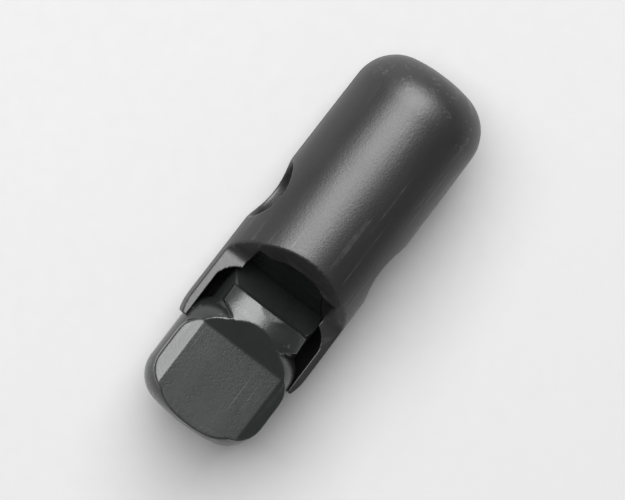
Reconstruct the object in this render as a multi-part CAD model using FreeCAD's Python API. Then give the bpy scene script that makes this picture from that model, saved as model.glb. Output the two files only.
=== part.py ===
import FreeCAD, Part
import math
import os

# Cylinder cord lock: a moulded barrel, a sprung push plunger and a coil spring.
# Millimetres. The barrel's axis is X and the plunger leaves it towards +X. The cord hole runs
# along Y through the origin. The notch and the flat of the head face +Z.

# Barrel
DOME_X = -10.7            # apex of the closed, domed end
MOUTH_X = 8.4             # open end
BARREL_R_DOME = 3.93      # outer radius beside the dome; the mould draft opens it to the mouth
BARREL_R_MOUTH = 4.05
DOME_CORNER_R = 2.6
DOME_CROWN_R = 9.0
MOUTH_ROUND_LENGTH = 1.2
MOUTH_LIP_R = 3.86
MOUTH_BULGE_BACK = 0.48   # a point on the mouth's rounding
MOUTH_BULGE_R = 3.997
FLOOR_X = -9.0            # floor of the bore, where the spring stands
FLOOR_FILLET_R = 0.4
SPIGOT_R = 1.35           # boss that centres the spring
SPIGOT_LENGTH = 0.9
CORD_HOLE_R = 1.9
CORD_HOLE_ROUND_R = 0.3

# Notch in the barrel's front: a flat cut that runs out through the wall at a slope. Its two
# long edges fall away towards the outside.
NOTCH_FLOOR_Z = 1.2
NOTCH_FLAT_HALF_WIDTH = 2.7
NOTCH_EDGE_FALL = math.radians(18)
NOTCH_TOP_X = 1.9         # where the run-out leaves the outer surface
NOTCH_SLOPE = math.radians(55)
NOTCH_FILLET_R = 0.7

# Fits
TRAVEL = 2.2              # how far the plunger presses in
RUNNING_CLEARANCE = 0.06
FLAT_CLEARANCE = 0.1

# Plunger
STEM_R = 2.84
HEAD_R = 3.6
HEAD_END_X = 13.3
HEAD_CORNER_R = 1.9
HEAD_CROWN_R = 12.0
HEAD_FULL_X = 8.1         # the head reaches its full radius here
SHOULDER_R = 1.6
FLAT_Z = 2.3              # flat front of the head
FLAT_START_X = 8.0
FLAT_HALF_WIDTH = 2.7     # beyond this the flat has bevels along both sides
FLAT_BEVEL_START_X = 6.7
FLAT_BEVEL_FALL = math.radians(22)
TONGUE_HALF_WIDTH = 2.5
TONGUE_START_X = 5.4
TONGUE_FOOT_X = 5.3       # foot of its upright front
TONGUE_FOOT_Z = 1.6
TONGUE_FRONT_Z = 2.7      # top of its upright front, where its bevel starts
RIDGE_X = 6.4
RIDGE_Z = 3.05
CROWN_R = 4.0             # the tongue's top is crowned across its width
NECK_HALF_WIDTH = 1.6     # between the tongue and the head's flat
NECK_START_X = 6.9
NECK_END_X = 8.6
SQUARE_FULL_X = 8.5       # squared front of the head: from the neck out to its full width
SQUARE_END_X = 12.4
SQUARE_HALF_WIDTH = 3.5
SQUARE_BASE_Z = 1.35
SQUARE_CORNER_R = 1.5
EYE_R = 1.85              # cord eye through the stem
EYE_WINDOW = 1.3          # the eye opens to the front from this far behind and above its centre
EYE_RAMP_X = 3.9          # foot of the ramp between the eye and the tongue
EYE_RAMP_Z = -0.6
STEM_END_X = -3.2
STEM_END_CHAMFER = 0.3
SPRING_POCKET_R = 2.2
SPRING_POCKET_DEPTH = 1.6

# Snap lug under the stem, and the slot in the barrel's back that holds it
LUG_STOP_X = 4.65
LUG_LENGTH = 1.2
LUG_TOP_LENGTH = 0.5
LUG_HALF_WIDTH = 0.65
LUG_ROOT_DEPTH = 0.4      # how far the lug reaches into the stem
LUG_RAMP_DEPTH = 0.1
LUG_TIP_R = 3.65
SLOT_CLEARANCE = 0.15
SLOT_END_CLEARANCE = 0.05
SLOT_OVERLAP = 0.5        # reach into the bore

# Spring
WIRE_R = 0.2
COIL_R = 1.85
CLOSED_TURNS = 1.0        # at each end
OPEN_TURNS = 5.5
END_GAP = 0.02
POINTS_PER_TURN = 12

BORE_R = STEM_R + RUNNING_CLEARANCE
SKIRT_R = HEAD_R + RUNNING_CLEARANCE
SKIRT_START_X = HEAD_FULL_X - TRAVEL - RUNNING_CLEARANCE
FAR = 30.0                # beyond the part, for cutting tools
SIDE_REACH = 8.0

ORIGIN = FreeCAD.Vector(0, 0, 0)
X_AXIS = FreeCAD.Vector(1, 0, 0)
Y_AXIS = FreeCAD.Vector(0, 1, 0)


def point(x, z):
    return FreeCAD.Vector(x, 0, z)


def line(start, end):
    return Part.LineSegment(point(*start), point(*end)).toShape()


def polyline(points):
    return [line(a, b) for a, b in zip(points, points[1:])]


def arc(centre, radius, from_angle, to_angle):
    """Arc in the XZ plane; angles in radians from +X towards +Z."""
    middle_angle = (from_angle + to_angle) / 2
    ends = [
        point(centre[0] + radius * math.cos(a), centre[1] + radius * math.sin(a))
        for a in (from_angle, middle_angle, to_angle)
    ]
    return Part.Arc(*ends).toShape()


def turned(edges):
    """Solid of revolution about the X axis."""
    return Part.Face(Part.Wire(edges)).revolve(ORIGIN, X_AXIS, 360)


def plate(edges, half_width):
    """Outline in the XZ plane, extruded evenly to both sides of it along Y."""
    face = Part.Face(Part.Wire(edges))
    face.translate(Y_AXIS * -half_width)
    return face.extrude(Y_AXIS * (2 * half_width))


def falling_plates(edges, start_y, fall):
    """Outline in the XZ plane, extruded outwards from both sides and sinking as it goes."""
    plates = []
    for side in (-1, 1):
        face = Part.Face(Part.Wire(edges))
        face.translate(Y_AXIS * (side * start_y))
        way = FreeCAD.Vector(0, side * SIDE_REACH, -SIDE_REACH * math.tan(fall))
        plates.append(face.extrude(way))
    return plates


def rounded_end(apex_x, toward, outer_r, corner_r, crown_r):
    """Crowned end with a round corner, from the axis outwards: its edges, and the x where it ends."""
    corner_centre_r = outer_r - corner_r
    reach = crown_r - corner_r
    depth = crown_r - math.sqrt(reach**2 - corner_centre_r**2)
    tilt = math.asin(corner_centre_r / reach)
    corner_x = apex_x + toward * depth
    crown_x = apex_x + toward * crown_r
    if toward > 0:
        on_axis, tangent = math.pi, math.pi - tilt
    else:
        on_axis, tangent = 0.0, tilt
    edges = [
        arc((crown_x, 0), crown_r, on_axis, tangent),
        arc((corner_x, corner_centre_r), corner_r, tangent, math.pi / 2),
    ]
    return edges, corner_x


def shoulder_arc(full_x, full_r, corner_r, stem_r):
    """Round step between a stem and a head, from the head's full radius down to the stem."""
    centre = (full_x, full_r - corner_r)
    stem_angle = math.pi - math.asin((stem_r - centre[1]) / corner_r)
    edge = arc(centre, corner_r, math.pi / 2, stem_angle)
    return edge, full_x + corner_r * math.cos(stem_angle)


def notch_cutters():
    """Everything above the notch's flat, its falling edges and its sloping run-out."""
    run = (math.cos(NOTCH_SLOPE), -math.sin(NOTCH_SLOPE))
    drop = BARREL_R_MOUTH - NOTCH_FLOOR_Z
    corner_x = NOTCH_TOP_X + drop / math.tan(NOTCH_SLOPE)
    tangent = NOTCH_FILLET_R * math.tan(NOTCH_SLOPE / 2)
    slope_foot = (corner_x - run[0] * tangent, NOTCH_FLOOR_Z - run[1] * tangent)
    slope_head = (slope_foot[0] - run[0] * SIDE_REACH, slope_foot[1] - run[1] * SIDE_REACH)
    floor_start = (corner_x + tangent, NOTCH_FLOOR_Z)
    fillet_centre = (floor_start[0], NOTCH_FLOOR_Z + NOTCH_FILLET_R)
    edges = [line(slope_head, slope_foot)]
    edges.append(arc(fillet_centre, NOTCH_FILLET_R, 1.5 * math.pi - NOTCH_SLOPE, 1.5 * math.pi))
    edges += polyline(
        [floor_start, (FAR, NOTCH_FLOOR_Z), (FAR, slope_head[1]), slope_head]
    )
    sides = falling_plates(edges, NOTCH_FLAT_HALF_WIDTH, NOTCH_EDGE_FALL)
    return [plate(edges, NOTCH_FLAT_HALF_WIDTH)] + sides


def tongue_path():
    """Room that the tongue sweeps as it travels, where it passes through the barrel's wall."""
    room = TONGUE_HALF_WIDTH + FLAT_CLEARANCE
    start = TONGUE_START_X - TRAVEL - FLAT_CLEARANCE
    corners = [
        (start, NOTCH_FLOOR_Z),
        (start, TONGUE_FRONT_Z + FLAT_CLEARANCE),
        (start + RIDGE_X - TONGUE_START_X, RIDGE_Z + FLAT_CLEARANCE),
        (MOUTH_X, RIDGE_Z + FLAT_CLEARANCE),
        (MOUTH_X, NOTCH_FLOOR_Z),
        (start, NOTCH_FLOOR_Z),
    ]
    return plate(polyline(corners), room)


def lug_slot():
    """Window in the barrel's back in which the snap lug travels."""
    start = LUG_STOP_X - LUG_LENGTH - TRAVEL - SLOT_CLEARANCE
    end = LUG_STOP_X + SLOT_END_CLEARANCE
    half_width = LUG_HALF_WIDTH + SLOT_CLEARANCE
    corner = FreeCAD.Vector(start, -half_width, -FAR)
    slot = Part.makeBox(end - start, 2 * half_width, FAR - BORE_R + SLOT_OVERLAP, corner)
    upright = [e for e in slot.Edges if abs(e.tangentAt(e.FirstParameter).z) > 0.9]
    return slot.makeFillet(SLOT_CLEARANCE, upright)


def cross_cylinder(x, radius):
    """Cylinder along Y, all the way across the part."""
    return Part.makeCylinder(radius, 2 * FAR, FreeCAD.Vector(x, -FAR, 0), Y_AXIS)


def build_barrel():
    dome, dome_x = rounded_end(DOME_X, 1, BARREL_R_DOME, DOME_CORNER_R, DOME_CROWN_R)
    skirt, bore_x = shoulder_arc(
        SKIRT_START_X, SKIRT_R, SHOULDER_R + RUNNING_CLEARANCE, BORE_R
    )
    round_x = MOUTH_X - MOUTH_ROUND_LENGTH
    bulge = point(MOUTH_X - MOUTH_BULGE_BACK, MOUTH_BULGE_R)
    mouth_round = Part.Arc(
        point(round_x, BARREL_R_MOUTH), bulge, point(MOUTH_X, MOUTH_LIP_R)
    ).toShape()
    outside = dome + [line((dome_x, BARREL_R_DOME), (round_x, BARREL_R_MOUTH)), mouth_round]
    inside = polyline([(MOUTH_X, MOUTH_LIP_R), (MOUTH_X, SKIRT_R), (SKIRT_START_X, SKIRT_R)])
    inside.append(skirt)
    fillet_x = FLOOR_X + FLOOR_FILLET_R
    fillet_r = BORE_R - FLOOR_FILLET_R
    inside.append(line((bore_x, BORE_R), (fillet_x, BORE_R)))
    inside.append(arc((fillet_x, fillet_r), FLOOR_FILLET_R, math.pi / 2, math.pi))
    spigot_x = FLOOR_X + SPIGOT_LENGTH
    inside += polyline(
        [
            (FLOOR_X, fillet_r),
            (FLOOR_X, SPIGOT_R),
            (spigot_x, SPIGOT_R),
            (spigot_x, 0),
            (DOME_X, 0),
        ]
    )
    barrel = turned(outside + inside)
    barrel = barrel.cut(cross_cylinder(0, CORD_HOLE_R))
    barrel = round_cord_hole(barrel)
    return barrel.cut(notch_cutters() + [tongue_path(), lug_slot()]).removeSplitter()


def round_cord_hole(barrel):
    """Rounds the two outer rims of the cord hole, so that they don't cut the cord."""
    rims = []
    for edge in barrel.Edges:
        box = edge.BoundBox
        across = box.XLength > 1.9 * CORD_HOLE_R and box.ZLength > 1.9 * CORD_HOLE_R
        outer = max(abs(box.YMin), abs(box.YMax)) > BARREL_R_DOME - 0.1
        one_side = box.YMin * box.YMax > 0
        if across and outer and one_side:
            rims.append(edge)
    return barrel.makeFillet(CORD_HOLE_ROUND_R, rims)


def front_cutter(eye_x):
    """Everything in front of the plunger's open eye, tongue and flat."""
    corners = [
        (eye_x - EYE_WINDOW, FAR),
        (eye_x - EYE_WINDOW, EYE_WINDOW),
        (eye_x, EYE_RAMP_Z),
        (EYE_RAMP_X, EYE_RAMP_Z),
        (TONGUE_FOOT_X, TONGUE_FOOT_Z),
        (TONGUE_START_X, TONGUE_FRONT_Z),
        (RIDGE_X, RIDGE_Z),
        (FLAT_START_X, FLAT_Z),
        (FAR, FLAT_Z),
        (FAR, FAR),
        (eye_x - EYE_WINDOW, FAR),
    ]
    return plate(polyline(corners), FAR)


def flat_bevel_cutters():
    """Everything beyond the bevels along the two sides of the head's flat."""
    slope = (FLAT_Z - RIDGE_Z) / (FLAT_START_X - RIDGE_X)
    start_z = RIDGE_Z + slope * (FLAT_BEVEL_START_X - RIDGE_X)
    corners = [
        (FLAT_BEVEL_START_X, start_z),
        (FLAT_START_X, FLAT_Z),
        (FAR, FLAT_Z),
        (FAR, FAR),
        (FLAT_BEVEL_START_X, FAR),
        (FLAT_BEVEL_START_X, start_z),
    ]
    return falling_plates(polyline(corners), FLAT_HALF_WIDTH, FLAT_BEVEL_FALL)


def snap_lug():
    """Wedge under the stem: a ramp that lets it in, and a square face that holds it."""
    start = LUG_STOP_X - LUG_LENGTH
    root = -STEM_R + LUG_ROOT_DEPTH
    corners = [
        (start, root),
        (start, -STEM_R + LUG_RAMP_DEPTH),
        (LUG_STOP_X - LUG_TOP_LENGTH, -LUG_TIP_R),
        (LUG_STOP_X, -LUG_TIP_R),
        (LUG_STOP_X, root),
        (start, root),
    ]
    return plate(polyline(corners), LUG_HALF_WIDTH)


def mirrored_block(half_outline, low_z, high_z):
    """Block whose plan is an outline on the +Y side and its mirror image."""
    outline = half_outline + [(x, -y) for x, y in reversed(half_outline)]
    corners = [FreeCAD.Vector(x, y, low_z) for x, y in outline + outline[:1]]
    return Part.Face(Part.makePolygon(corners)).extrude(FreeCAD.Vector(0, 0, high_z - low_z))


def tongue():
    """Crowned bar across the stem in the notch, with a neck that joins it to the head."""
    base_z = math.sqrt(STEM_R**2 - TONGUE_HALF_WIDTH**2)
    half_outline = [
        (TONGUE_START_X, TONGUE_HALF_WIDTH),
        (RIDGE_X, TONGUE_HALF_WIDTH),
        (NECK_START_X, NECK_HALF_WIDTH),
        (NECK_END_X, NECK_HALF_WIDTH),
    ]
    sink = CROWN_R - RIDGE_Z
    crown = polyline(
        [
            (TONGUE_START_X, 0),
            (TONGUE_START_X, TONGUE_FRONT_Z + sink),
            (RIDGE_X, CROWN_R),
            (NECK_END_X, CROWN_R),
            (NECK_END_X, 0),
            (TONGUE_START_X, 0),
        ]
    )
    crown = turned(crown)
    crown.translate(FreeCAD.Vector(0, 0, -sink))
    return mirrored_block(half_outline, base_z, RIDGE_Z).common(crown)


def square_front():
    """Squared front of the head, which passes over the notch's edges as the head presses in."""
    half_outline = [
        (NECK_START_X, NECK_HALF_WIDTH),
        (SQUARE_FULL_X, SQUARE_HALF_WIDTH),
        (SQUARE_END_X, SQUARE_HALF_WIDTH),
    ]
    block = mirrored_block(half_outline, SQUARE_BASE_Z, RIDGE_Z)
    corners = []
    for edge in block.Edges:
        upright = abs(edge.tangentAt(edge.FirstParameter).z) > 0.9
        if upright and edge.BoundBox.XMin > NECK_START_X + 0.1:
            corners.append(edge)
    return block.makeFillet(SQUARE_CORNER_R, corners)


def build_plunger():
    end, end_x = rounded_end(HEAD_END_X, -1, HEAD_R, HEAD_CORNER_R, HEAD_CROWN_R)
    shoulder, stem_x = shoulder_arc(HEAD_FULL_X, HEAD_R, SHOULDER_R, STEM_R)
    pocket_x = STEM_END_X + SPRING_POCKET_DEPTH
    edges = end + [line((end_x, HEAD_R), (HEAD_FULL_X, HEAD_R)), shoulder]
    edges += polyline(
        [
            (stem_x, STEM_R),
            (STEM_END_X + STEM_END_CHAMFER, STEM_R),
            (STEM_END_X, STEM_R - STEM_END_CHAMFER),
            (STEM_END_X, SPRING_POCKET_R),
            (pocket_x, SPRING_POCKET_R),
            (pocket_x, 0),
            (HEAD_END_X, 0),
        ]
    )
    body = turned(edges)
    eye_x = TRAVEL
    plunger = body.fuse([tongue(), square_front(), snap_lug()])
    cutters = [front_cutter(eye_x), cross_cylinder(eye_x, EYE_R)] + flat_bevel_cutters()
    return plunger.cut(cutters).removeSplitter()


def spring_path():
    """Centre line of the spring: closed end turns and open turns between them."""
    start = FLOOR_X + WIRE_R + END_GAP
    end = STEM_END_X + SPRING_POCKET_DEPTH - WIRE_R - END_GAP
    closed_rise = 2 * WIRE_R + END_GAP
    open_rise = end - start - 2 * CLOSED_TURNS * closed_rise
    turns = 2 * CLOSED_TURNS + OPEN_TURNS
    count = int(turns * POINTS_PER_TURN)
    points = []
    for i in range(count + 1):
        turn = turns * i / count
        low = min(turn, CLOSED_TURNS) * closed_rise
        high = max(turn - CLOSED_TURNS - OPEN_TURNS, 0) * closed_rise
        middle = min(max(turn - CLOSED_TURNS, 0), OPEN_TURNS) * open_rise / OPEN_TURNS
        angle = 2 * math.pi * turn
        points.append(
            FreeCAD.Vector(
                start + low + middle + high,
                COIL_R * math.cos(angle),
                COIL_R * math.sin(angle),
            )
        )
    curve = Part.BSplineCurve()
    curve.interpolate(points)
    return curve


def build_spring():
    curve = spring_path()
    wire = Part.Wire(curve.toShape())
    start = curve.value(curve.FirstParameter)
    direction = curve.tangent(curve.FirstParameter)[0]
    section = Part.Wire(Part.makeCircle(WIRE_R, start, direction))
    return wire.makePipeShell([section], True, True)


def main():
    os.makedirs("parts", exist_ok=True)
    nodes = {"barrel": build_barrel(), "plunger": build_plunger(), "spring": build_spring()}
    for name, shape in nodes.items():
        solid = shape.Solids[0]
        print(name, len(shape.Solids), shape.isValid(), round(shape.Volume, 2), shape.BoundBox)
        solid.exportStep(f"parts/{name}.step")


main()
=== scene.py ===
import bmesh
import bpy
import math
from mathutils import Matrix, Vector


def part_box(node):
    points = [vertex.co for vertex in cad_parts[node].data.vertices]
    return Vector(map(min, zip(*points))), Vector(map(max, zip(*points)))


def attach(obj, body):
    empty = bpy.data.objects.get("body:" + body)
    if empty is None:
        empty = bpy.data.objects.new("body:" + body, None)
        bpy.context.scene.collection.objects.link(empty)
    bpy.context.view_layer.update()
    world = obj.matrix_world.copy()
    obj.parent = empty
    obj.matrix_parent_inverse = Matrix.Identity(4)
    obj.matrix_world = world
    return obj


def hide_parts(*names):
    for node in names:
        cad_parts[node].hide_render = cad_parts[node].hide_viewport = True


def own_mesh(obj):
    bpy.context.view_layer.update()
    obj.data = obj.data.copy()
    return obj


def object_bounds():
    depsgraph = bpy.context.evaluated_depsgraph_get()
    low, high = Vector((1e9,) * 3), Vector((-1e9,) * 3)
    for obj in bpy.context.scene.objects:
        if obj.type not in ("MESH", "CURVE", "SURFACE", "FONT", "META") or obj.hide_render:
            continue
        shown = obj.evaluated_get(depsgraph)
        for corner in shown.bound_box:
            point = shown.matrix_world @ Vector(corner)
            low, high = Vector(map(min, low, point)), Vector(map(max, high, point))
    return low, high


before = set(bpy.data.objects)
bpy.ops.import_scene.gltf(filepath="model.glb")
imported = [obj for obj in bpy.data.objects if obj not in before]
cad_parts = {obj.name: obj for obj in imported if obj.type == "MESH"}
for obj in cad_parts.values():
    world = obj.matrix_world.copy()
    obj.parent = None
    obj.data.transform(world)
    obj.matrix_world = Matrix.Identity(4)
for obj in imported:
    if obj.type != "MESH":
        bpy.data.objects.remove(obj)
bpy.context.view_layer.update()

# The lock's pieces are modelled in millimetres along the barrel's axis, X, and scaled to metres
# at the end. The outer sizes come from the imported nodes; the named values below them are the
# inner sizes of the same design.
MM = 0.001
barrel_low, barrel_high = (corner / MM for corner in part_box("barrel"))
plunger_low, plunger_high = (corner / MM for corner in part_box("plunger"))
spring_low, spring_high = (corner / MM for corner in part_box("spring"))

# Barrel
DOME_X = barrel_low.x
MOUTH_X = barrel_high.x
BARREL_R_MOUTH = barrel_high.y
MOULD_DRAFT = 0.12
BARREL_R_DOME = BARREL_R_MOUTH - MOULD_DRAFT
DOME_CORNER_R = 2.6
DOME_CROWN_R = 9.0
MOUTH_ROUND_LENGTH = 1.2
MOUTH_LIP_R = 3.86
MOUTH_BULGE = 2.2
FLOOR_X = -9.0
FLOOR_FILLET_R = 0.4
SPIGOT_R = 1.35
SPIGOT_LENGTH = 0.9
CORD_HOLE_R = 1.9
CORD_HOLE_ROUND_R = 0.3
CORD_HOLE_RIM_FROM_Y = 2.2
CORD_HOLE_RIM_TO_Y = 4.6
CORD_HOLE_RIM_LEVELS = 31

# Notch, its falling long edges and the room for the tongue behind it
NOTCH_FLOOR_Z = 1.2
NOTCH_FLAT_HALF_WIDTH = 2.7
NOTCH_EDGE_FALL = math.radians(18)
NOTCH_TOP_X = 1.9
NOTCH_SLOPE = math.radians(55)
NOTCH_FILLET_R = 0.7
NOTCH_REACH = 6.0
ROOM_CLEARANCE = 0.1

# Plunger: running fit, head with its flat, tongue and neck, squared front, eye and pocket
TRAVEL = 2.2
CLEARANCE = 0.06
STEM_R = 2.84
HEAD_R = 3.6
HEAD_END_X = plunger_high.x
HEAD_CORNER_R = 1.9
HEAD_CROWN_R = 12.0
HEAD_FULL_X = 8.1
SHOULDER_R = 1.6
FLAT_Z = 2.3
FLAT_START_X = 8.0
FLAT_HALF_WIDTH = 2.7
FLAT_BEVEL_START_X = 6.7
FLAT_BEVEL_FALL = math.radians(22)
TONGUE_HALF_WIDTH = 2.5
TONGUE_START_X = 5.4
TONGUE_FOOT_X = 5.3
TONGUE_FOOT_Z = 1.6
TONGUE_FRONT_Z = 2.7
RIDGE_X = 6.4
RIDGE_Z = 3.05
CROWN_R = 4.0
NECK_HALF_WIDTH = 1.6
NECK_START_X = 6.9
NECK_END_X = 8.6
SQUARE_FULL_X = 8.5
SQUARE_END_X = 12.4
SQUARE_HALF_WIDTH = 3.5
SQUARE_BASE_Z = 1.35
SQUARE_CORNER_R = 1.5
TOP_OVERLAP = 0.5
EYE_R = 1.85
EYE_WINDOW = 0.7 * EYE_R
EYE_RAMP_X = 3.9
EYE_RAMP_Z = -0.6
STEM_END_X = plunger_low.x
STEM_END_CHAMFER = 0.3
SPRING_POCKET_R = 2.2
SPRING_POCKET_DEPTH = 1.6

# Snap lug and the slot it runs in
LUG_STOP_X = 4.65
LUG_LENGTH = 1.2
LUG_TOP_LENGTH = 0.5
LUG_HALF_WIDTH = 0.65
LUG_TIP_R = 3.65
LUG_ROOT_DEPTH = 0.4
LUG_RAMP_DEPTH = 0.1
SLOT_CLEARANCE = 0.15
SLOT_END_CLEARANCE = 0.05
SLOT_OVERLAP = 0.5

# Marks that the mould leaves on the barrel
GATE_R = 0.75
GATE_FLOOR_R = 0.68
GATE_WALL_DEPTH = 0.16
GATE_DEPTH = 0.2
GATE_STUB_R = 0.3
GATE_STUB_TOP_R = 0.24
GATE_STUB_EDGE_DEPTH = 0.08
GATE_STUB_TOP_DEPTH = 0.06
PARTING_HALF_WIDTH = 0.08
PARTING_HEIGHT = 0.03
PARTING_SKIN_DEPTH = 0.3
PARTING_END_R = 1.0

# Spring
WIRE_R = 0.2
COIL_R = spring_high.y - WIRE_R
CLOSED_TURNS = 1.0
OPEN_TURNS = 5.5
COIL_GAP = 0.02
WIRE_END_SHARE = 0.82

# Bore of the barrel, and how far cutters reach past the pieces
BORE_R = STEM_R + CLEARANCE
SKIRT_R = HEAD_R + CLEARANCE
SKIRT_START_X = HEAD_FULL_X - TRAVEL - CLEARANCE
FAR = 12.0
PAST_HEAD_X = 16.0
PAST_MOUTH_X = MOUTH_X + 1.0
BEFORE_DOME_X = DOME_X - 1.0
SIDE_REACH = 6.0
PLATE_OVERLAP = 0.001

# Fineness of the meshes
LATHE_SEGMENTS = 240
HOLE_SEGMENTS = 128
COIL_SEGMENTS = 64
WIRE_SEGMENTS = 16
VOXEL = 0.05
SMOOTH_ROUNDS = 10
SHARE_OF_FACES_KEPT = 0.25


# ---------------------------------------------------------------- mesh tools
def arc(centre, radius, from_angle, to_angle, steps=24):
    """Points of an arc in the (x, radius) plane, angles in radians from +X."""
    angles = [from_angle + (to_angle - from_angle) * i / steps for i in range(steps + 1)]
    return [
        (centre[0] + radius * math.cos(a), centre[1] + radius * math.sin(a)) for a in angles
    ]


def link(name, mesh):
    obj = bpy.data.objects.new(name, mesh)
    bpy.context.scene.collection.objects.link(obj)
    return obj


def from_bmesh(name, bm):
    bmesh.ops.recalc_face_normals(bm, faces=bm.faces)
    mesh = bpy.data.meshes.new(name)
    bm.to_mesh(mesh)
    bm.free()
    return link(name, mesh)


def lathe(name, outline, segments=LATHE_SEGMENTS):
    """Closed solid turned about the X axis from an outline that starts and ends on the axis."""
    bm = bmesh.new()
    rings = []
    for x, r in outline:
        if r < 1e-6:
            rings.append([bm.verts.new((x, 0, 0))])
            continue
        angles = [2 * math.pi * i / segments for i in range(segments)]
        rings.append([bm.verts.new((x, r * math.cos(a), r * math.sin(a))) for a in angles])
    for one, two in zip(rings, rings[1:]):
        for i in range(segments):
            j = (i + 1) % segments
            corners = [one[i % len(one)], one[j % len(one)], two[j % len(two)], two[i % len(two)]]
            bm.faces.new(list(dict.fromkeys(corners)))
    return from_bmesh(name, bm)


def prism(name, near_loop, far_loop):
    """Closed solid between two loops that have the same number of points."""
    bm = bmesh.new()
    near = [bm.verts.new(point) for point in near_loop]
    far = [bm.verts.new(point) for point in far_loop]
    bm.faces.new(near)
    bm.faces.new(far)
    join_loops(bm, near, far)
    return from_bmesh(name, bm)


def join_loops(bm, one, two):
    for i in range(len(one)):
        j = (i + 1) % len(one)
        bm.faces.new([one[i], one[j], two[j], two[i]])


def upright_plate(name, outline, half_width):
    """Outline in the XZ plane, extruded to both sides of it."""
    near, far = ([(x, side * half_width, z) for x, z in outline] for side in (-1, 1))
    return prism(name, near, far)


def lying_plate(name, outline, low_z, high_z):
    """Outline in the XY plane, extruded between two heights."""
    low_loop, high_loop = ([(x, y, z) for x, y in outline] for z in (low_z, high_z))
    return prism(name, low_loop, high_loop)


def falling_plates(name, outline, start_y, fall):
    """Outline in the XZ plane, extruded outwards from both sides and sinking as it goes."""
    sink = SIDE_REACH * math.tan(fall)
    plates = []
    for side in (-1, 1):
        near = [(x, side * start_y, z) for x, z in outline]
        far = [(x, side * (start_y + SIDE_REACH), z - sink) for x, z in outline]
        plates.append(prism(name, near, far))
    return plates


def cross_hole(name, x, radius, levels=(-FAR, FAR), flare=None):
    """Cylinder along Y with a ring at each level, widened there by flare(y, angle)."""
    bm = bmesh.new()
    rings = []
    for y in levels:
        ring = []
        for i in range(HOLE_SEGMENTS):
            a = 2 * math.pi * i / HOLE_SEGMENTS
            r = radius + (flare(y, a) if flare else 0)
            ring.append(bm.verts.new((x + r * math.cos(a), y, r * math.sin(a))))
        rings.append(ring)
    bm.faces.new(rings[0])
    bm.faces.new(rings[-1])
    for one, two in zip(rings, rings[1:]):
        join_loops(bm, one, two)
    return from_bmesh(name, bm)


def apply_modifiers(obj):
    depsgraph = bpy.context.evaluated_depsgraph_get()
    mesh = bpy.data.meshes.new_from_object(obj.evaluated_get(depsgraph))
    obj.modifiers.clear()
    obj.data = mesh


def combine(obj, operation, others):
    for other in others:
        modifier = obj.modifiers.new("boolean", "BOOLEAN")
        modifier.operation = operation
        modifier.solver = "EXACT"
        modifier.object = other
        apply_modifiers(obj)
        bpy.data.objects.remove(other)


def mould_edges(obj):
    """Even mesh with small moulded radii on every edge, thinned out where it is flat."""
    remesh = obj.modifiers.new("remesh", "REMESH")
    remesh.mode = "VOXEL"
    remesh.voxel_size = VOXEL
    remesh.use_smooth_shade = True
    smooth = obj.modifiers.new("smooth", "SMOOTH")
    smooth.factor = 0.5
    smooth.iterations = SMOOTH_ROUNDS
    thin = obj.modifiers.new("thin", "DECIMATE")
    thin.ratio = SHARE_OF_FACES_KEPT
    apply_modifiers(obj)


def to_metres(obj):
    obj.data.transform(Matrix.Scale(MM, 4))
    for polygon in obj.data.polygons:
        polygon.use_smooth = True


# ---------------------------------------------------------------- barrel
def rounded_end(apex_x, toward, outer_r, corner_r, crown_r):
    """Crowned end with a round corner, from the axis outwards."""
    corner_centre_r = outer_r - corner_r
    reach = crown_r - corner_r
    depth = crown_r - math.sqrt(reach**2 - corner_centre_r**2)
    tilt = math.asin(corner_centre_r / reach)
    on_axis, tangent = (math.pi, math.pi - tilt) if toward > 0 else (0.0, tilt)
    crown = arc((apex_x + toward * crown_r, 0), crown_r, on_axis, tangent, 12)
    corner = arc((apex_x + toward * depth, corner_centre_r), corner_r, tangent, math.pi / 2, 32)
    return crown + corner[1:]


def shoulder(full_x, full_r, corner_r, stem_r):
    """Round step from the full radius down to the stem's."""
    centre = (full_x, full_r - corner_r)
    return arc(centre, corner_r, math.pi / 2, math.pi - math.asin((stem_r - centre[1]) / corner_r))


def barrel_outline():
    round_x = MOUTH_X - MOUTH_ROUND_LENGTH
    drop = BARREL_R_MOUTH - MOUTH_LIP_R
    mouth = [
        (round_x + MOUTH_ROUND_LENGTH * t, BARREL_R_MOUTH - drop * t**MOUTH_BULGE)
        for t in (i / 16 for i in range(17))
    ]
    fillet_centre = (FLOOR_X + FLOOR_FILLET_R, BORE_R - FLOOR_FILLET_R)
    fillet = arc(fillet_centre, FLOOR_FILLET_R, math.pi / 2, math.pi, 8)
    spigot_x = FLOOR_X + SPIGOT_LENGTH
    outline = rounded_end(DOME_X, 1, BARREL_R_DOME, DOME_CORNER_R, DOME_CROWN_R)
    outline += mouth + [(MOUTH_X, SKIRT_R)]
    outline += shoulder(SKIRT_START_X, SKIRT_R, SHOULDER_R + CLEARANCE, BORE_R)
    outline += fillet + [(FLOOR_X, SPIGOT_R), (spigot_x, SPIGOT_R), (spigot_x, 0)]
    return outline


def notch_outline():
    """Flat notch floor and its sloping run-out, with everything above them."""
    run = (math.cos(NOTCH_SLOPE), -math.sin(NOTCH_SLOPE))
    corner_x = NOTCH_TOP_X + (BARREL_R_MOUTH - NOTCH_FLOOR_Z) / math.tan(NOTCH_SLOPE)
    floor_x = corner_x + NOTCH_FILLET_R * math.tan(NOTCH_SLOPE / 2)
    centre = (floor_x, NOTCH_FLOOR_Z + NOTCH_FILLET_R)
    fillet = arc(centre, NOTCH_FILLET_R, 1.5 * math.pi - NOTCH_SLOPE, 1.5 * math.pi, 8)
    top = (fillet[0][0] - run[0] * NOTCH_REACH, fillet[0][1] - run[1] * NOTCH_REACH)
    return [top, *fillet, (FAR, NOTCH_FLOOR_Z), (FAR, top[1])]


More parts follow.
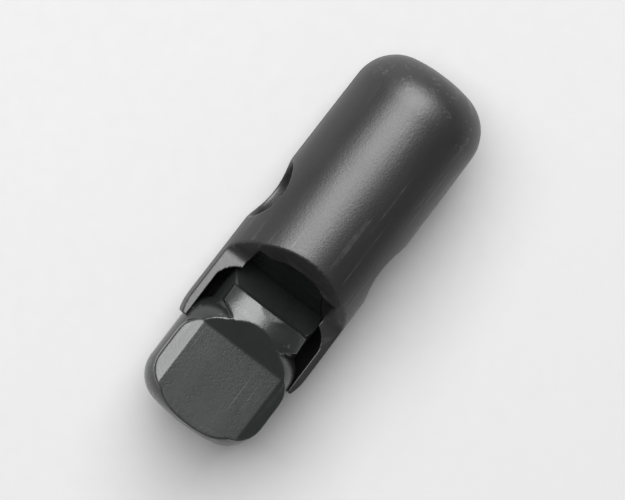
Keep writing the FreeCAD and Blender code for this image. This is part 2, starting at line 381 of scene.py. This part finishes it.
def tongue_room_outline():
    """Room above the notch floor for the tongue over its whole travel."""
    start = TONGUE_START_X - TRAVEL - ROOM_CLEARANCE
    return [
        (start, NOTCH_FLOOR_Z),
        (start, TONGUE_FRONT_Z + ROOM_CLEARANCE),
        (start + RIDGE_X - TONGUE_START_X, RIDGE_Z + ROOM_CLEARANCE),
        (PAST_MOUTH_X, RIDGE_Z + ROOM_CLEARANCE),
        (PAST_MOUTH_X, NOTCH_FLOOR_Z),
    ]


def lug_slot():
    start = LUG_STOP_X - LUG_LENGTH - TRAVEL - SLOT_CLEARANCE
    end = LUG_STOP_X + SLOT_END_CLEARANCE
    half = LUG_HALF_WIDTH + SLOT_CLEARANCE
    outline = [(start, -half), (end, -half), (end, half), (start, half)]
    return lying_plate("slot", outline, -FAR, -BORE_R + SLOT_OVERLAP)


def gate_mark():
    """Shallow round recess with the stub of the gate in it, at the dome's apex."""
    outline = [
        (BEFORE_DOME_X, 0),
        (BEFORE_DOME_X, GATE_R),
        (DOME_X + GATE_WALL_DEPTH, GATE_R),
        (DOME_X + GATE_DEPTH, GATE_FLOOR_R),
        (DOME_X + GATE_DEPTH, GATE_STUB_R),
        (DOME_X + GATE_STUB_EDGE_DEPTH, GATE_STUB_TOP_R),
        (DOME_X + GATE_STUB_TOP_DEPTH, 0),
    ]
    return lathe("gate", outline, HOLE_SEGMENTS // 2)


def rim_levels():
    """Heights of the cord hole's rings: its two ends, and fine steps over both rims."""
    step = (CORD_HOLE_RIM_TO_Y - CORD_HOLE_RIM_FROM_Y) / (CORD_HOLE_RIM_LEVELS - 1)
    rim = [CORD_HOLE_RIM_FROM_Y + step * i for i in range(CORD_HOLE_RIM_LEVELS)]
    return [-FAR, *(-y for y in reversed(rim)), 0.0, *rim, FAR]


def rim_flare(y, angle):
    """Widening of the cord hole where its round rim meets the barrel's outer surface."""
    surface = math.sqrt(BARREL_R_MOUTH**2 - (CORD_HOLE_R * math.sin(angle)) ** 2)
    depth = CORD_HOLE_ROUND_R - (surface - abs(y))
    depth = min(max(depth, 0.0), CORD_HOLE_ROUND_R)
    return CORD_HOLE_ROUND_R - math.sqrt(CORD_HOLE_ROUND_R**2 - depth**2)


def mark_parting_line(obj):
    """Fine witness line of the mould on both sides of the barrel, at z = 0. It never stands
    out past the mouth's radius."""
    for vertex in obj.data.vertices:
        radius = math.hypot(vertex.co.y, vertex.co.z)
        outside = radius > BARREL_R_DOME - PARTING_SKIN_DEPTH or vertex.co.x < FLOOR_X
        slack = 1 - abs(vertex.co.z) / PARTING_HALF_WIDTH
        if outside and slack > 0 and radius > PARTING_END_R:
            lift = min(PARTING_HEIGHT, BARREL_R_MOUTH - radius) * slack
            vertex.co.y *= 1 + max(lift, 0) / radius


def build_barrel():
    barrel = lathe("barrel_shell", barrel_outline())
    cutters = [
        cross_hole("hole", 0, CORD_HOLE_R, rim_levels(), rim_flare),
        upright_plate("notch", notch_outline(), NOTCH_FLAT_HALF_WIDTH + PLATE_OVERLAP),
        *falling_plates("notch_edge", notch_outline(), NOTCH_FLAT_HALF_WIDTH, NOTCH_EDGE_FALL),
        upright_plate("room", tongue_room_outline(), TONGUE_HALF_WIDTH + ROOM_CLEARANCE),
        lug_slot(),
        gate_mark(),
    ]
    combine(barrel, "DIFFERENCE", cutters)
    mould_edges(barrel)
    mark_parting_line(barrel)
    to_metres(barrel)
    return barrel


# ---------------------------------------------------------------- plunger
def plunger_outline():
    pocket_x = STEM_END_X + SPRING_POCKET_DEPTH
    outline = rounded_end(HEAD_END_X, -1, HEAD_R, HEAD_CORNER_R, HEAD_CROWN_R)
    outline += shoulder(HEAD_FULL_X, HEAD_R, SHOULDER_R, STEM_R)
    outline += [
        (STEM_END_X + STEM_END_CHAMFER, STEM_R),
        (STEM_END_X, STEM_R - STEM_END_CHAMFER),
        (STEM_END_X, SPRING_POCKET_R),
        (pocket_x, SPRING_POCKET_R),
        (pocket_x, 0),
    ]
    return outline


def tongue():
    """Cross bar and neck, with a top that is crowned across its width."""
    base_z = math.sqrt(STEM_R**2 - TONGUE_HALF_WIDTH**2)
    half = [
        (TONGUE_START_X, TONGUE_HALF_WIDTH),
        (RIDGE_X, TONGUE_HALF_WIDTH),
        (NECK_START_X, NECK_HALF_WIDTH),
        (NECK_END_X, NECK_HALF_WIDTH),
    ]
    outline = half + [(x, -y) for x, y in reversed(half)]
    block = lying_plate("tongue", outline, base_z, RIDGE_Z + TOP_OVERLAP)
    sink = CROWN_R - RIDGE_Z
    profile = [
        (TONGUE_START_X, 0),
        (TONGUE_START_X, TONGUE_FRONT_Z + sink),
        (RIDGE_X, CROWN_R),
        (NECK_END_X, CROWN_R),
        (NECK_END_X, 0),
    ]
    crown = lathe("crown", profile)
    crown.data.transform(Matrix.Translation((0, 0, -sink)))
    combine(block, "INTERSECT", [crown])
    return block


def square_front():
    """Squared front of the head, from the neck out to its full width, with round corners."""
    far_centre = (SQUARE_END_X - SQUARE_CORNER_R, SQUARE_HALF_WIDTH - SQUARE_CORNER_R)
    run, rise = SQUARE_FULL_X - NECK_START_X, SQUARE_HALF_WIDTH - NECK_HALF_WIDTH
    lean = math.atan2(rise, run)
    back = SQUARE_CORNER_R * math.tan(lean / 2)
    near_centre = (SQUARE_FULL_X + back, far_centre[1])
    half = [(NECK_START_X, NECK_HALF_WIDTH)]
    half += arc(near_centre, SQUARE_CORNER_R, math.pi / 2 + lean, math.pi / 2, 8)
    half += arc(far_centre, SQUARE_CORNER_R, math.pi / 2, 0, 12)
    outline = half + [(x, -y) for x, y in reversed(half)]
    return lying_plate("square_front", outline, SQUARE_BASE_Z, RIDGE_Z + TOP_OVERLAP)


def snap_lug():
    start = LUG_STOP_X - LUG_LENGTH
    root = -STEM_R + LUG_ROOT_DEPTH
    outline = [
        (start, root),
        (start, -STEM_R + LUG_RAMP_DEPTH),
        (LUG_STOP_X - LUG_TOP_LENGTH, -LUG_TIP_R),
        (LUG_STOP_X, -LUG_TIP_R),
        (LUG_STOP_X, root),
    ]
    return upright_plate("lug", outline, LUG_HALF_WIDTH)


def front_outline():
    """Everything in front of the open eye, the tongue and the flat."""
    return [
        (TRAVEL - EYE_WINDOW, FAR),
        (TRAVEL - EYE_WINDOW, EYE_WINDOW),
        (TRAVEL, EYE_RAMP_Z),
        (EYE_RAMP_X, EYE_RAMP_Z),
        (TONGUE_FOOT_X, TONGUE_FOOT_Z),
        (TONGUE_START_X, TONGUE_FRONT_Z),
        (RIDGE_X, RIDGE_Z),
        (FLAT_START_X, FLAT_Z),
        (PAST_HEAD_X, FLAT_Z),
        (PAST_HEAD_X, FAR),
    ]


def flat_bevels():
    """Cutters that let the flat fall away along both of its sides."""
    slope = (FLAT_Z - RIDGE_Z) / (FLAT_START_X - RIDGE_X)
    start_z = RIDGE_Z + slope * (FLAT_BEVEL_START_X - RIDGE_X)
    outline = [
        (FLAT_BEVEL_START_X, start_z),
        (FLAT_START_X, FLAT_Z),
        (PAST_HEAD_X, FLAT_Z),
        (PAST_HEAD_X, FAR),
        (FLAT_BEVEL_START_X, FAR),
    ]
    return falling_plates("flat_bevel", outline, FLAT_HALF_WIDTH, FLAT_BEVEL_FALL)


def build_plunger():
    plunger = lathe("push_plunger", plunger_outline())
    combine(plunger, "UNION", [tongue(), square_front(), snap_lug()])
    front = upright_plate("front", front_outline(), FAR)
    combine(plunger, "DIFFERENCE", [front, cross_hole("eye", TRAVEL, EYE_R), *flat_bevels()])
    mould_edges(plunger)
    to_metres(plunger)
    return plunger


# ---------------------------------------------------------------- spring
def spring_centre(turn):
    """Centre of the wire after a number of turns from the barrel's floor."""
    start = FLOOR_X + WIRE_R + COIL_GAP
    end = STEM_END_X + SPRING_POCKET_DEPTH - WIRE_R - COIL_GAP
    closed_rise = 2 * WIRE_R + COIL_GAP
    open_rise = (end - start - 2 * CLOSED_TURNS * closed_rise) / OPEN_TURNS
    first_closed = min(turn, CLOSED_TURNS)
    opened = min(max(turn - CLOSED_TURNS, 0), OPEN_TURNS)
    last_closed = max(turn - CLOSED_TURNS - OPEN_TURNS, 0)
    x = start + (first_closed + last_closed) * closed_rise + opened * open_rise
    angle = 2 * math.pi * turn
    return Vector((x, COIL_R * math.cos(angle), COIL_R * math.sin(angle)))


def build_spring():
    """Round wire swept along the coil, with its two ends cut square and slightly rounded."""
    turns = 2 * CLOSED_TURNS + OPEN_TURNS
    count = int(turns * COIL_SEGMENTS)
    axial = Vector((1, 0, 0))
    bm = bmesh.new()
    rings = []
    for i in range(count + 1):
        centre = spring_centre(turns * i / count)
        outward = Vector((0, centre.y, centre.z)).normalized()
        radius = WIRE_R * (WIRE_END_SHARE if i in (0, count) else 1)
        angles = [2 * math.pi * k / WIRE_SEGMENTS for k in range(WIRE_SEGMENTS)]
        offsets = [(outward * math.cos(a) + axial * math.sin(a)) * radius for a in angles]
        rings.append([bm.verts.new(centre + offset) for offset in offsets])
    bm.faces.new(rings[0])
    bm.faces.new(rings[-1])
    for one, two in zip(rings, rings[1:]):
        join_loops(bm, one, two)
    spring = from_bmesh("coil_spring", bm)
    to_metres(spring)
    return spring


# ---------------------------------------------------------------- materials
class Nodes:
    """Short calls for building a node material."""

    def __init__(self, name):
        self.material = bpy.data.materials.new(name)
        self.material.use_nodes = True
        self.tree = self.material.node_tree
        self.shader = self.tree.nodes["Principled BSDF"]
        coordinates = self.tree.nodes.new("ShaderNodeTexCoord")
        in_mm = self.tree.nodes.new("ShaderNodeVectorMath")
        in_mm.operation = "SCALE"
        in_mm.inputs["Scale"].default_value = 1 / MM
        self.join(coordinates.outputs["Object"], in_mm.inputs[0])
        self.mm = in_mm.outputs[0]

    def join(self, output, socket):
        self.tree.links.new(output, socket)

    def noise(self, scale, detail=4.0, roughness=0.5, stretch=(1, 1, 1), tilt=(0, 0, 0)):
        mapping = self.tree.nodes.new("ShaderNodeMapping")
        mapping.inputs["Scale"].default_value = stretch
        mapping.inputs["Rotation"].default_value = tilt
        self.join(self.mm, mapping.inputs["Vector"])
        node = self.tree.nodes.new("ShaderNodeTexNoise")
        node.inputs["Scale"].default_value = scale
        node.inputs["Detail"].default_value = detail
        node.inputs["Roughness"].default_value = roughness
        self.join(mapping.outputs[0], node.inputs["Vector"])
        return node.outputs["Fac"]

    def spread(self, value, from_low, from_high, to_low, to_high):
        node = self.tree.nodes.new("ShaderNodeMapRange")
        for socket, number in zip(
            ("From Min", "From Max", "To Min", "To Max"), (from_low, from_high, to_low, to_high)
        ):
            node.inputs[socket].default_value = number
        self.join(value, node.inputs["Value"])
        return node.outputs["Result"]

    def calculate(self, operation, one, two):
        node = self.tree.nodes.new("ShaderNodeMath")
        node.operation = operation
        for socket, value in zip(node.inputs, (one, two)):
            if isinstance(value, (int, float)):
                socket.default_value = value
            else:
                self.join(value, socket)
        return node.outputs[0]

    def mix(self, factor, one, two):
        node = self.tree.nodes.new("ShaderNodeMix")
        node.data_type = "RGBA"
        self.join(factor, node.inputs["Factor"])
        colours = [s for s in node.inputs if s.type == "RGBA"]
        for socket, value in zip(colours, (one, two)):
            if isinstance(value, tuple):
                socket.default_value = value
            else:
                self.join(value, socket)
        return next(s for s in node.outputs if s.type == "RGBA")

    def bump(self, layers):
        """Stacks (height, distance in mm, strength) layers and feeds the shader's normal."""
        normal = None
        for height, distance, strength in layers:
            node = self.tree.nodes.new("ShaderNodeBump")
            node.inputs["Distance"].default_value = distance * MM
            node.inputs["Strength"].default_value = strength
            self.join(height, node.inputs["Height"])
            if normal is not None:
                self.join(normal, node.inputs["Normal"])
            normal = node.outputs["Normal"]
        self.join(normal, self.shader.inputs["Normal"])

    def hairlines(self, angle, density):
        """Thin straight scuffs at one angle to the barrel's axis."""
        lines = self.noise(density, 2.0, 0.5, stretch=(0.12, 5.0, 5.0), tilt=(0.3, 0.1, angle))
        gate = self.spread(self.noise(0.35, 1.0), 0.5, 0.62, 0.0, 1.0)
        return self.calculate("MULTIPLY", self.spread(lines, 0.68, 0.74, 0.0, 1.0), gate)

    def worn_edges(self):
        """Patchy mask of the outer edges, where handling rubs the plastic."""
        geometry = self.tree.nodes.new("ShaderNodeNewGeometry")
        edge = self.spread(geometry.outputs["Pointiness"], 0.515, 0.58, 0.0, 1.0)
        patchy = self.spread(self.noise(1.3, 5.0, 0.6), 0.4, 0.62, 0.25, 1.0)
        return self.calculate("MULTIPLY", edge, patchy)


def moulded_plastic(name, dark, light, worn, low_rough, high_rough, grain_strength):
    """Spark-eroded satin moulding: fine grain, faint flow marks, scuffs and rubbed edges."""
    nodes = Nodes(name)
    flow = nodes.noise(0.45, 5.0, 0.6, stretch=(0.4, 1.0, 1.0))
    grain = nodes.noise(7.0, 3.0, 0.6)
    fine = nodes.noise(16.0, 2.0, 0.5)
    scuffs = nodes.calculate("MAXIMUM", nodes.hairlines(0.25, 1.4), nodes.hairlines(-1.1, 1.1))
    edges = nodes.worn_edges()
    plain = nodes.mix(nodes.spread(flow, 0.3, 0.7, 0.0, 1.0), dark, light)
    rubbed = nodes.mix(nodes.calculate("MULTIPLY", edges, 0.55), plain, worn)
    scuffed = nodes.mix(nodes.calculate("MULTIPLY", scuffs, 0.1), rubbed, worn)
    nodes.join(scuffed, nodes.shader.inputs["Base Color"])
    mottle = nodes.calculate("ADD", flow, nodes.calculate("MULTIPLY", grain, 0.5))
    rough = nodes.spread(mottle, 0.45, 1.0, low_rough, high_rough)
    rough = nodes.calculate("SUBTRACT", rough, nodes.calculate("MULTIPLY", edges, 0.06))
    rough = nodes.calculate("ADD", rough, nodes.calculate("MULTIPLY", scuffs, 0.08))
    nodes.join(rough, nodes.shader.inputs["Roughness"])
    nodes.bump([
        (flow, 0.05, 0.12),
        (grain, 0.03, grain_strength),
        (fine, 0.012, grain_strength),
        (scuffs, -0.006, 0.15),
    ])
    nodes.shader.inputs["IOR"].default_value = 1.55
    nodes.shader.inputs["Specular IOR Level"].default_value = 0.5
    return nodes.material


def drawn_steel(name):
    """Bright drawn wire with fine streaks and a little tarnish."""
    nodes = Nodes(name)
    streaks = nodes.noise(9.0, 3.0, 0.6)
    tarnish = nodes.noise(0.8, 4.0, 0.6)
    patches = nodes.spread(tarnish, 0.35, 0.7, 0.0, 1.0)
    colour = nodes.mix(patches, (0.60, 0.60, 0.61, 1), (0.42, 0.41, 0.40, 1))
    nodes.join(colour, nodes.shader.inputs["Base Color"])
    nodes.join(nodes.spread(streaks, 0.3, 0.7, 0.22, 0.38), nodes.shader.inputs["Roughness"])
    nodes.shader.inputs["Metallic"].default_value = 1.0
    nodes.bump([(streaks, 0.01, 0.4), (tarnish, 0.02, 0.2)])
    return nodes.material


def paper_floor(name):
    """Matt pale paper, nearly even in tone."""
    nodes = Nodes(name)
    tone = nodes.noise(0.02, 3.0, 0.5)
    colour = nodes.mix(tone, (0.322, 0.322, 0.322, 1), (0.338, 0.338, 0.338, 1))
    nodes.join(colour, nodes.shader.inputs["Base Color"])
    rough = nodes.spread(nodes.noise(1.0, 3.0), 0.3, 0.7, 0.6, 0.75)
    nodes.join(rough, nodes.shader.inputs["Roughness"])
    nodes.bump([(nodes.noise(3.0, 4.0), 0.01, 0.1)])
    return nodes.material


def finish_piece(obj, material, body, node):
    obj.data.materials.clear()
    obj.data.materials.append(material)
    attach(obj, body)
    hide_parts(node)
    return obj


# ---------------------------------------------------------------- camera, floor and lights
# The view is nearly straight down on the lock's front, turned a little about the barrel's axis,
# and rolled so that the domed end points up and to the right.
TURN = math.radians(8)
AXIS_RISE = math.radians(52.6)
LENS = 260.0
SENSOR = 36.0
VIEW_WIDTH = 0.0345
CLIP_START = 0.005
CLIP_END = 20.0
FLOOR_SIZE = 4.0
FLOOR_CELLS = 8
WORLD_GREY = 0.9
WORLD_STRENGTH = 0.25
KEY_DISTANCE = 0.7
KEY_WIDTH = 0.66
KEY_LENGTH = 1.0
KEY_WATTS = 19
KEY_SIDE_LEAN = 0.32
KEY_DOME_LEAN = 0.42

to_camera = Vector((0, -math.sin(TURN), math.cos(TURN)))
dome_way = Vector((-1, 0, 0))
side_way = Vector((0, math.cos(TURN), math.sin(TURN)))
camera_up = math.sin(AXIS_RISE) * dome_way - math.cos(AXIS_RISE) * side_way


def place_facing(obj, place, back, up):
    """Puts a camera or light at its place, looking away from the back direction."""
    back = back.normalized()
    right = up.cross(back).normalized()
    rotation = Matrix((right, back.cross(right), back)).transposed()
    obj.matrix_world = Matrix.Translation(place) @ rotation.to_4x4()


def add_camera(centre):
    data = bpy.data.cameras.new("camera")
    data.sensor_width = SENSOR
    data.lens = LENS
    data.clip_start = CLIP_START
    data.clip_end = CLIP_END
    camera = link("camera", data)
    distance = VIEW_WIDTH * LENS / SENSOR
    place_facing(camera, centre + to_camera * distance, to_camera, camera_up)
    bpy.context.scene.camera = camera


def add_key_light(centre):
    """One large soft lamp, a little to the side of the view and towards the dome."""
    data = bpy.data.lights.new("key", "AREA")
    data.shape = "RECTANGLE"
    data.size = KEY_WIDTH
    data.size_y = KEY_LENGTH
    data.energy = KEY_WATTS
    direction = to_camera - KEY_SIDE_LEAN * side_way + KEY_DOME_LEAN * dome_way
    direction.normalize()
    place_facing(link("key", data), centre + direction * KEY_DISTANCE, direction, dome_way)


def add_floor(height):
    bpy.ops.mesh.primitive_grid_add(
        x_subdivisions=FLOOR_CELLS, y_subdivisions=FLOOR_CELLS, size=FLOOR_SIZE
    )
    floor = bpy.context.object
    floor.name = "floor"
    floor.location.z = height
    floor.data.materials.append(paper_floor("pale_paper"))


def add_world():
    world = bpy.data.worlds.new("studio")
    world.use_nodes = True
    background = world.node_tree.nodes["Background"]
    background.inputs["Color"].default_value = (WORLD_GREY, WORLD_GREY, WORLD_GREY, 1)
    background.inputs["Strength"].default_value = WORLD_STRENGTH
    bpy.context.scene.world = world


# ---------------------------------------------------------------- assembly
barrel_plastic = moulded_plastic(
    "barrel_plastic", (0.0065, 0.0062, 0.0062, 1), (0.0095, 0.009, 0.0089, 1),
    (0.04, 0.0385, 0.038, 1), 0.37, 0.45, 0.35,
)
plunger_plastic = moulded_plastic(
    "plunger_plastic", (0.0072, 0.0082, 0.0079, 1), (0.010, 0.0112, 0.0108, 1),
    (0.04, 0.042, 0.041, 1), 0.25, 0.32, 0.22,
)
spring_steel = drawn_steel("spring_wire")

barrel = finish_piece(build_barrel(), barrel_plastic, "barrel", "barrel")
plunger = finish_piece(build_plunger(), plunger_plastic, "plunger", "plunger")
spring = finish_piece(build_spring(), spring_steel, "barrel", "spring")
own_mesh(spring)

low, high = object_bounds()
centre = Vector(((low.x + high.x) / 2, 0, 0))
add_camera(centre)
add_floor(low.z)
add_world()
add_key_light(centre)
bpy.context.scene.view_settings.view_transform = "Standard"
